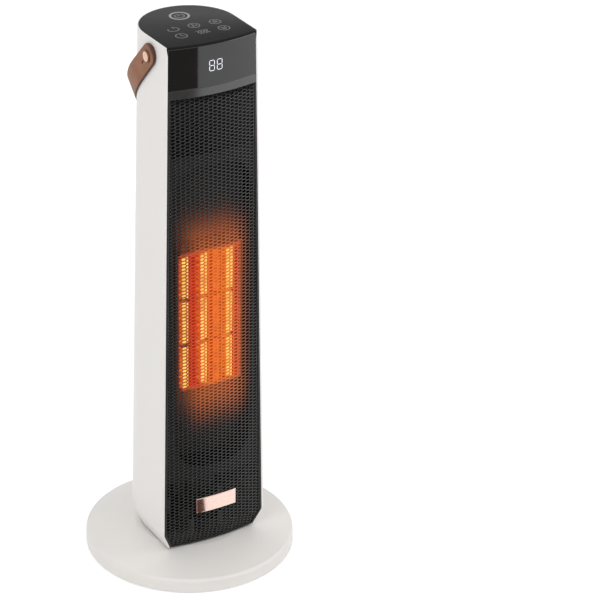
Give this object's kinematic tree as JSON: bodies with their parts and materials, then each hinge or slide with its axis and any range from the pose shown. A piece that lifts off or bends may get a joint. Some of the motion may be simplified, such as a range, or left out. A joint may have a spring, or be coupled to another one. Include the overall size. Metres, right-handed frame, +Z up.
{
  "type": "ceramic tower heater",
  "caption": "Tapered tower fan heater with a perforated black front, glossy touch top, digit display, oval outlet with glowing ceramic pack, leather strap and swinging round base.",
  "frame": {"origin": "middle of the round base's footprint, on the floor under its rubber feet", "axes": "+Z up along the tower and the swing axis, -Y towards the perforated front, +X to the object's left side seen from behind"},
  "size_m": [0.235, 0.235, 0.625],
  "materials": {
    "white_plastic": "satin",
    "dark_plastic": "matte",
    "black_plastic": "matte",
    "glossy_black": "glossy",
    "top_black": "satin gloss",
    "mesh_metal": "satin",
    "plate_metal": "satin",
    "stud_metal": "polished",
    "steel": "satin",
    "screw_metal": "polished",
    "fin_metal": "satin",
    "tab_metal": "satin",
    "hot_ceramic": "matte",
    "rubber": "matte",
    "nylon": "satin",
    "board": "satin",
    "lamp_black": "glossy",
    "filter_grey": "matte",
    "leather": "grained"
  },
  "bodies": {
    "base": {"base_cover": "white_plastic", "base_plate": "dark_plastic", "base_weight": "steel", "base_feet": "rubber", "base_screws": "screw_metal", "cord_gland": "rubber", "pivot_post": "nylon", "glide_ring": "nylon", "swing_gear": "nylon", "post_clip": "steel"},
    "tower": {"tower_foot": "black_plastic", "rear_shell": "white_plastic", "front_frame": "black_plastic", "grille_mesh": "mesh_metal", "nameplate": "plate_metal", "display_panel": "glossy_black", "top_panel": "top_black", "top_frame": "black_plastic", "touch_board": "board", "led_display": "lamp_black", "outlet_duct": "black_plastic", "heater_frame": "dark_plastic", "ptc_columns": "hot_ceramic", "heater_fins": "fin_metal", "heater_terminals": "tab_metal", "thermal_cutout": "steel", "fan_housing": "black_plastic", "fan_motor": "steel", "fan_bearing": "nylon", "power_board": "board", "tilt_switch": "dark_plastic", "temperature_sensor": "dark_plastic", "swing_motor": "steel", "intake_grille": "white_plastic", "intake_filter": "filter_grey", "switch_body": "black_plastic", "strap_studs": "stud_metal", "casing_screws": "screw_metal"},
    "blower": {"fan_wheel": "dark_plastic", "fan_shaft": "screw_metal", "fan_axle": "screw_metal"},
    "pinion": {"swing_pinion": "nylon"},
    "rocker": {"power_rocker": "dark_plastic"},
    "strap": {"strap_handle": "leather"}
  },
  "joints": [
    {"name": "tower_swing", "type": "hinge", "parent": "base", "child": "tower", "pos_m": [0, 0, 0.0295], "axis": [0, 0, 1], "range_deg": [-35, 35]},
    {"name": "blower_spin", "type": "hinge", "parent": "tower", "child": "blower", "pos_m": [0, 0.009, 0.302], "axis": [0, 0, 1], "continuous": true},
    {"name": "pinion_spin", "type": "hinge", "parent": "tower", "child": "pinion", "pos_m": [0, -0.0375, 0.0527], "axis": [0, 0, 1], "range_deg": [-97, 97]},
    {"name": "rocker_tilt", "type": "hinge", "parent": "tower", "child": "rocker", "pos_m": [0, 0.06173, 0.078], "axis": [1, 0, 0], "range_deg": [0, 16]},
    {"name": "strap_swing", "type": "hinge", "parent": "tower", "child": "strap", "pos_m": [0, -0.0144, 0.6055], "axis": [1, 0, 0], "range_deg": [0, 138]}
  ],
  "couplings": [
    {"joint": "pinion_spin", "follows": "tower_swing", "ratio": 2.75}
  ]
}
